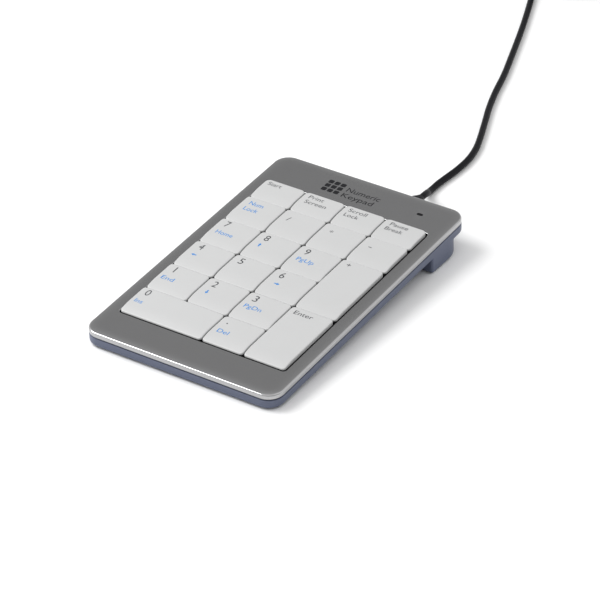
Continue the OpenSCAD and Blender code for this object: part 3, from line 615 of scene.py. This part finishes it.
def flat_text(text):
    """A text as (points, faces), with the letters at their natural width."""
    data = bpy.data.curves.new("text", "FONT")
    data.body = text
    data.resolution_u = 6
    work = bpy.data.objects.new("text", data)
    mesh = bpy.data.meshes.new_from_object(work)
    points = [Vector((v.co.x, v.co.y)) for v in mesh.vertices]
    faces = [tuple(p.vertices) for p in mesh.polygons]
    bpy.data.objects.remove(work)
    bpy.data.meshes.remove(mesh)
    return points, faces


def flat_arrow(turn):
    """An arrow as (points, faces), turned anticlockwise from pointing up."""
    a = math.radians(turn)
    points = [(-0.13, -0.5), (0.13, -0.5), (0.13, 0.02), (0.36, 0.02), (0, 0.5), (-0.36, 0.02),
              (-0.13, 0.02)]
    return [Vector((x * math.cos(a) - y * math.sin(a), x * math.sin(a) + y * math.cos(a)))
            for x, y in points], [(0, 1, 2, 6), (6, 2, 3, 4, 5)]


def box_of(points):
    """Left, bottom, right and top of the points."""
    return (min(p.x for p in points), min(p.y for p in points),
            max(p.x for p in points), max(p.y for p in points))


CAPITAL = box_of(flat_text("E")[0])


def print_lines(name, lines, left, rear, z, slot, body, material=None):
    """Thin ink lines of text on a flat face at height z."""
    bm = bmesh.new()
    for text, x, back, w, h in lines:
        if text in ARROWS:
            points, faces = flat_arrow(ARROWS[text])
            x0, y0, x1, y1 = box_of(points)
            low, high = y0, y1
        else:
            points, faces = flat_text(text)
            x0, _, x1, _ = box_of(points)
            low, high = CAPITAL[1], CAPITAL[3]
        wide, tall = w / (x1 - x0), h / (high - low)
        flat = [(left + x + (p.x - x0) * wide, rear - back + (p.y - (low + high) / 2) * tall)
                for p in points]
        top = [bm.verts.new(deck(*p, z + INK)) for p in flat]
        base = [bm.verts.new(deck(*p, z - INK)) for p in flat]
        edges = {}
        for face in faces:
            bm.faces.new([top[i] for i in face])
            bm.faces.new([base[i] for i in reversed(face)])
            for a, b in zip(face, face[1:] + face[:1]):
                edges[(a, b)] = True
        # Only an edge that no other face runs back along is on the outline.
        for a, b in edges:
            if (b, a) not in edges:
                bm.faces.new([top[b], top[a], base[a], base[b]])
    place(name, to_mesh(bm, name), slot, body=body, material=material)


for key in KEYS:
    left, front, w, d = cap_box(key)
    for slot in (DARK, BLUE):
        lines = [line[1:] for line in LEGENDS[key[0]] if line[0] == slot]
        if lines:
            print_lines(key[0] + ("_legend" if slot == DARK else "_second_legend"), lines,
                        left, front + d, CAP_TOP, slot, key[0])

# ------------------------------------------------------------- mechanism
# Dome: radius and height over the film, up the outside and inside the hollow.

DOME_OUTSIDE = [(2.55, 0), (3.15, 0), (3.2, 0.05), (3.2, 0.25), (3.1, 0.45), (2.15, 2.1),
                (1.95, 2.5), (1.8, 2.62), (1.5, 2.66), (0.9, 2.66)]
DOME_INSIDE = [(0.5, 1.15), (0.75, 1.1), (0.8, 1.2), (0.8, 1.75), (1.45, 1.8), (1.6, 1.6)]

for key in KEYS:
    name = key[0]
    left, front, w, d = cap_box(key)
    x, y = left + w / 2, front + d / 2
    node = "scissor_" + name[4:]
    lever = place(name + "_scissor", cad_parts[node].data.copy(), "scissor_plastic",
                  replaces=(node,), weighted=False)
    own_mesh(lever)
    dome_loops = [circle(x, y, FILM_TOP + z, r, 28)
                  for r, z in DOME_INSIDE[::-1] + DOME_OUTSIDE]
    dome = place(name + "_dome", skin(name + "_dome", dome_loops), "dome_rubber",
                 weighted=False)
    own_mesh(dome)
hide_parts("rubber_domes")

# ------------------------------------------------------------------- case

CORNER_R, WALL, PLATE_T, CROWN = 6.6, 1.3, 1.3, 0.7
SPLIT_Z, SEAM = 3.9, 0.55
WINDOW_W, WINDOW_FRONT, WINDOW_REAR, WINDOW_R = 76.5, -55.0, 50.5, 1.5
SCREWS = [(-34, -64), (0, -64), (34, -64), (-34, 56), (34, 56)]
LIGHT_X, LIGHT_Y, LIGHT_W, LIGHT_D = 28, 60.5, 2.76, 1.56
EXIT_X, EXIT_Z = 18.5, 1.9
BOSS_R, BOSS_LOW, BOSS_HIGH = 2.6, 3, 5.39
# Top edge of the case: how wide a band of the bezel falls away, and how far.
RIM_W, RIM_FALL = 4.5, 0.3
WINDOW_EDGE = 0.28


def case_loop(inset, z):
    """Outline of the case, inset, at height z."""
    return [deck(x, y, z) for x, y in
            rounded(CASE_W, CASE_D, (CORNER_R,) * 4, inset, arc=12, side=30)]


def window_loop(grow, z):
    """Outline of the key window, grown outwards, at height z."""
    middle = (0, (WINDOW_FRONT + WINDOW_REAR) / 2)
    points = rounded(WINDOW_W, WINDOW_REAR - WINDOW_FRONT, (WINDOW_R,) * 4, -grow, middle,
                     arc=12, side=30)
    return [deck(x, y, z) for x, y in points]


def slot_prism(x, y, w, d, z0, z1):
    """Upright prism with round ends."""
    return skin("slot", [[deck(*p, z) for p in
                          rounded(w, d, (d / 2 - 0.01,) * 4, middle=(x, y), arc=8, side=2)]
                         for z in (z0, z1)])


def exit_notch(z0, z1):
    """Opening in the rear wall for the neck of the strain relief."""
    return block(EXIT_X, CASE_D / 2, z0, 5.1, 7.2, z1 - z0)


def rim_height(inset):
    """Height of the bezel's top, which falls gently over its last few millimetres."""
    return CASE_H - RIM_FALL * max(0, 1 - inset / RIM_W) ** 2


rim_lean = math.atan(2 * RIM_FALL / RIM_W)
crown_inset = CROWN * (1 - math.sin(rim_lean))
crown_z = rim_height(crown_inset) - CROWN * math.cos(rim_lean)
top_loops = [case_loop(0.12, SPLIT_Z + SEAM), case_loop(0, SPLIT_Z + SEAM + 0.12)]
for k in range(11):
    a = (math.pi / 2 - rim_lean) * k / 10
    top_loops.append(case_loop(CROWN * (1 - math.cos(a)), crown_z + CROWN * math.sin(a)))
top_loops += [case_loop(inset, rim_height(inset)) for inset in (1, 1.5, 2, 2.5, 3, 3.5, 4, RIM_W)]
top_loops.append(window_loop(0.5, CASE_H))
for k in range(5):
    a = math.radians(22.5 * k)
    top_loops.append(window_loop(WINDOW_EDGE * (1 - math.sin(a)),
                                 CASE_H - WINDOW_EDGE * (1 - math.cos(a))))
top_loops += [window_loop(0, CASE_H - PLATE_T), window_loop(1, CASE_H - PLATE_T),
              case_loop(WALL, CASE_H - PLATE_T), case_loop(WALL, SPLIT_Z + SEAM)]
bezel_mesh = cut(skin("bezel", top_loops, closed=True), [
    slot_prism(LIGHT_X, LIGHT_Y, LIGHT_W, LIGHT_D, 4, 8), exit_notch(0, EXIT_Z + 1.75)])
place("top_bezel", bezel_mesh, "bezel", replaces=("top_case",), sharp=40)

# Black lip inside the seam, which closes it to light, and the screws' bosses.
LIP, LIP_LOW = WALL + 0.1, 3.1
lip_mesh = cut(skin("lip", [
    case_loop(LIP - 0.4, SPLIT_Z + SEAM), case_loop(LIP - 0.4, BOSS_HIGH),
    case_loop(LIP + 0.8, BOSS_HIGH), case_loop(LIP + 0.8, LIP_LOW),
    case_loop(LIP, LIP_LOW), case_loop(LIP, SPLIT_Z + SEAM)], closed=True),
    [exit_notch(0, EXIT_Z + 1.75)])
place("top_lip", lip_mesh, "bezel", material=BLACK_AND_GAP_SHADE, sharp=40)
bosses = [[circle(x, y, z, BOSS_R) for z in (BOSS_LOW, BOSS_HIGH)] for x, y in SCREWS]
place("top_bosses", skin("top_bosses", *bosses), "bezel", material=BLACK_AND_GAP_SHADE)

# ----------------------------------------------------------- bottom shell

FLOOR_T = 1.1
FEET = [(-26, -FOOT_Y), (26, -FOOT_Y), (-33, 55), (33, 55)]
RISER_FRONT, RISER_REAR, RISER_R, RISER_GAP = 43.5, 69.5, 13, 0.2
FOOT_R, POCKET_R, POCKET_TOP = 4, 4.1, 0.93
SCREW_SEAT, SCREW_HEAD_R, SCREW_R = 1.4, 2.1, 1
# Below everything: where a cutter starts that comes up from under the case.
BOTTOM = -12


def level(y, z):
    """Height over the deck's underside, at y, of a level plane z over the table."""
    return (z - LIFT - y * math.sin(TILT)) / math.cos(TILT)


def riser_loop(inset, rise=None, z=None):
    """Outline of the rear block: rise is over its level bottom, z over the deck's."""
    points = rounded(CASE_W, RISER_REAR - RISER_FRONT, (1, 1, RISER_R, RISER_R), inset,
                     (0, (RISER_REAR + RISER_FRONT) / 2), arc=14, side=24)
    return [deck(x, y, level(y, RISER_GAP) + rise if z is None else z) for x, y in points]


def pillar(x, y, z0, z1, r):
    """Upright cylinder."""
    return skin("pillar", [circle(x, y, z, r, 32) for z in (z0, z1)])


shell_loops = []
for k in range(7):
    a = math.radians(15 * k)
    shell_loops.append(case_loop(SHELL_EDGE * (1 - math.sin(a)), SHELL_EDGE * (1 - math.cos(a))))
shell_loops += [case_loop(0, SPLIT_Z - 0.15), case_loop(0.15, SPLIT_Z), case_loop(WALL, SPLIT_Z),
                case_loop(WALL, FLOOR_T + 0.4), case_loop(WALL + 0.4, FLOOR_T)]
riser_loops = [riser_loop(0.03 + i, rise=r) for i, r in
               ((0.9, 0), (0.55, 0.08), (0.25, 0.28), (0.07, 0.6), (0, 1))]
riser_loops.append(riser_loop(0.03, z=SHELL_EDGE + 0.4))
shell = cut(skin("shell", shell_loops), [skin("riser", riser_loops)], "UNION")
shell = cut(shell, [skin("hollow", [riser_loop(WALL, rise=FOOT_H - RISER_GAP + FLOOR_T),
                                    riser_loop(WALL, z=SPLIT_Z)])])
# Screw bosses, board posts, plate posts and ribs.
inside = [pillar(x, y, level(y, FOOT_H) + 0.4 if y > 0 else 0.5, 2.7, BOSS_R)
          for x, y in SCREWS]
inside += [pillar(x, 60, level(60, FOOT_H) + 0.5, 1, 1.5) for x in (-24, 0, 24)]
inside += [pillar(x, FIELD_FRONT + row * PITCH_Y, 0.5, 2, 0.9)
           for x in (-19, 19) for row in (1, 4)]
inside += [block(x, -7, 0.5, 1.6, 96, 1.1) for x in (-30, -10, 10, 30)]
shell = cut(shell, inside, "UNION")
recesses = [pillar(x, y, BOTTOM, SCREW_SEAT, SCREW_HEAD_R) for x, y in SCREWS]
recesses += [pillar(x, y, 0, SPLIT_Z, SCREW_R) for x, y in SCREWS]
recesses.append(exit_notch(EXIT_Z - 1.75, EXIT_Z + 4.25))
recesses.append(skin("label_pocket", [[deck(x, y, z) for x, y in
                                       rounded(52, 30, (2,) * 4, middle=(0, -8))]
                                      for z in (-1, 0.15)]))
recesses += [skin("foot_pocket", [circle(x, y * math.cos(TILT) + SHIFT, z, POCKET_R, 40, table)
                                  for z in (-1, FOOT_H)]) for x, y in FEET[2:]]
shell = cut(shell, recesses)
place("bottom_shell", shell, "shell", replaces=("bottom_case",), sharp=32)

# Feet: discs with a rounded rim, level on the table. The front ones end at the
# leaning underside, the rear ones just inside their pockets.
foot_parts = []
for x, y in FEET:
    at_y = y * math.cos(TILT) + SHIFT
    low = [circle(x, at_y, z, r, 40, table) for z, r in
           ((0.12, 2.4), (0, 2.9), (0, 3.4), (0.06, 3.7), (0.25, 3.93), (0.5, FOOT_R))]
    top = []
    for point in low[-1]:
        over = point.y / MM
        rise = POCKET_TOP if y > 0 else LIFT + (over - SHIFT) * math.tan(TILT) + 0.03
        top.append(Vector((point.x, point.y, rise * MM)))
    foot_parts.append(low + [top])
place("feet", skin("feet", *foot_parts), "foot_rubber", replaces=("rubber_feet",), sharp=60)

# ------------------------------------------------------------ strain relief


def relief_ring(y, half_w, half_h, power):
    """Squarish oval around the cable's axis, at y."""
    ring = []
    for k in range(36):
        a = math.radians(10 * k)
        c, v = math.cos(a), math.sin(a)
        ring.append(deck(EXIT_X + half_w * math.copysign(abs(c) ** (2 / power), c), y,
                         EXIT_Z + half_h * math.copysign(abs(v) ** (2 / power), v)))
    return ring


# Distance behind the case, half width, half height and squareness.
relief_loops = [relief_ring(CASE_D / 2 + y, w, h, p) for y, w, h, p in (
    (0.02, 3.55, 2.35, 3.0), (0.15, 3.72, 2.46, 3.0), (0.5, 3.78, 2.5, 2.9), (1.3, 3.76, 2.5, 2.8),
    (2.2, 3.62, 2.47, 2.7), (3.0, 3.36, 2.38, 2.6), (3.7, 3.0, 2.22, 2.5), (4.3, 2.62, 2.05, 2.4),
    (4.8, 2.3, 1.9, 2.3), (5.3, 2.02, 1.76, 2.2), (5.7, 1.85, 1.66, 2.1), (6.0, 1.72, 1.6, 2.0),
    (6.0, 1.3, 1.3, 2.0))]
relief = cut(skin("relief", relief_loops), [
    block(EXIT_X, CASE_D / 2, EXIT_Z - 1.7, 5, 3.2, 3.4),
    block(EXIT_X, CASE_D / 2 - 2.9, FLOOR_T + 0.05, 6.6, 1, 3),
    block(EXIT_X, CASE_D / 2 - 2, EXIT_Z - 1.2, 3, 2.4, 2.4)], "UNION")
place("cable_relief", relief, "cable_jacket", replaces=("strain_relief",), sharp=50)

# Mark and words printed on the rear of the bezel.
MARK_X, MARK_Y, MARK_PITCH, SPOT_W, SPOT_R = -12.4, 60, 2.9, 2.3, 0.5
mark_bm = bmesh.new()
for i in (-1, 0, 1):
    for j in (-1, 0, 1):
        spot = rounded(SPOT_W, SPOT_W, (SPOT_R,) * 4, arc=4, side=1,
                       middle=(MARK_X + i * MARK_PITCH, MARK_Y + j * MARK_PITCH))
        add_skin(mark_bm, [[deck(*p, CASE_H + z) for p in spot] for z in (-INK, INK)])
place("bezel_mark", to_mesh(mark_bm, "bezel_mark"), "legend_dark", material=MARK_INK)
print_lines("bezel_words", [("Numeric", 0, 2.4, 15.6, 2.9), ("Keypad", 0, 6.6, 14.6, 2.9)],
            -6.6, 63.6, CASE_H, "legend_dark", ROOT, material=MARK_INK)

# -------------------------------------------------- nodes kept as they are

KEPT = {
    "base_plate": "steel_plate", "membrane": "film",
    "controller_board": "board", "board_parts": "chips", "status_light": "light_pipe",
    "case_screws": "screws", "stabiliser_0": "wire", "stabiliser_enter": "wire",
    "stabiliser_plus": "wire",
}
for name, slot in KEPT.items():
    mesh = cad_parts[name].data
    mesh.materials.clear()
    mesh.materials.append(MATERIALS[slot])

# ---------------------------------------------------------------- stage

SOFTBOX_AT, SOFTBOX_SIZE, SOFTBOX_WATTS = (-0.62, -0.20, 0.76), 0.66, 7.6
# Light from all round: weaker low down at the front right, and with a grey flag
# at the back left, which the flat bezel mirrors.
SKY_TONE, SHADED_TONE = 1.0, 0.35
SHADED_SIDE = (0.54, -0.54, -0.65)
FLAG_TOWARDS = (-0.4497, 0.6537, 0.6087)
FLAG_TONE = 0.36


softbox_data = bpy.data.lights.new("softbox", "AREA")
softbox_data.shape = "DISK"
softbox_data.size = SOFTBOX_SIZE
softbox_data.energy = SOFTBOX_WATTS
softbox = bpy.data.objects.new("softbox", softbox_data)
softbox_aim = (-Vector(SOFTBOX_AT)).to_track_quat("-Z", "Y")
softbox.matrix_world = Matrix.Translation(SOFTBOX_AT) @ softbox_aim.to_matrix().to_4x4()
bpy.context.scene.collection.objects.link(softbox)

world = bpy.data.worlds.new("studio")
bpy.context.scene.world = world
world.use_nodes = True
sky_nodes, sky_links = world.node_tree.nodes, world.node_tree.links
sky_where = sky_nodes.new("ShaderNodeTexCoord")


def sky_zone(towards, start, end, low, high, smooth):
    """Tone of the sky that goes from low to high as it nears a direction."""
    near = sky_nodes.new("ShaderNodeVectorMath")
    near.operation = "DOT_PRODUCT"
    near.inputs[1].default_value = Vector(towards).normalized()
    sky_links.new(sky_where.outputs["Generated"], near.inputs[0])
    tone = sky_nodes.new("ShaderNodeMapRange")
    tone.interpolation_type = "SMOOTHSTEP" if smooth else "LINEAR"
    for name, value in (("From Min", start), ("From Max", end), ("To Min", low),
                        ("To Max", high)):
        tone.inputs[name].default_value = value
    sky_links.new(near.outputs["Value"], tone.inputs["Value"])
    return tone.outputs["Result"]


sky_tone = sky_nodes.new("ShaderNodeMath")
sky_tone.operation = "MULTIPLY"
sky_links.new(sky_zone(SHADED_SIDE, -0.2, 0.7, SKY_TONE, SHADED_TONE, True),
              sky_tone.inputs[0])
sky_links.new(sky_zone(FLAG_TOWARDS, 0.883, 0.9945, 1, FLAG_TONE, False), sky_tone.inputs[1])
sky_links.new(sky_tone.outputs["Value"], world.node_tree.nodes["Background"].inputs["Color"])

FLOOR_HALF = 9
floor_mesh = skin("floor", [[(i * FLOOR_HALF, j * FLOOR_HALF, z) for i, j in
                             ((-1, -1), (1, -1), (1, 1), (-1, 1))] for z in (-0.02, -0.0002)])
floor_mesh.materials.append(finish("white_sweep", (0.88, 0.88, 0.88), 0.9, vary=0.01,
                                   vary_mm=60, grain_um=5, grain_mm=1.5))
floor = bpy.data.objects.new("floor", floor_mesh)
bpy.context.scene.collection.objects.link(floor)
bpy.context.scene.view_settings.view_transform = "Standard"
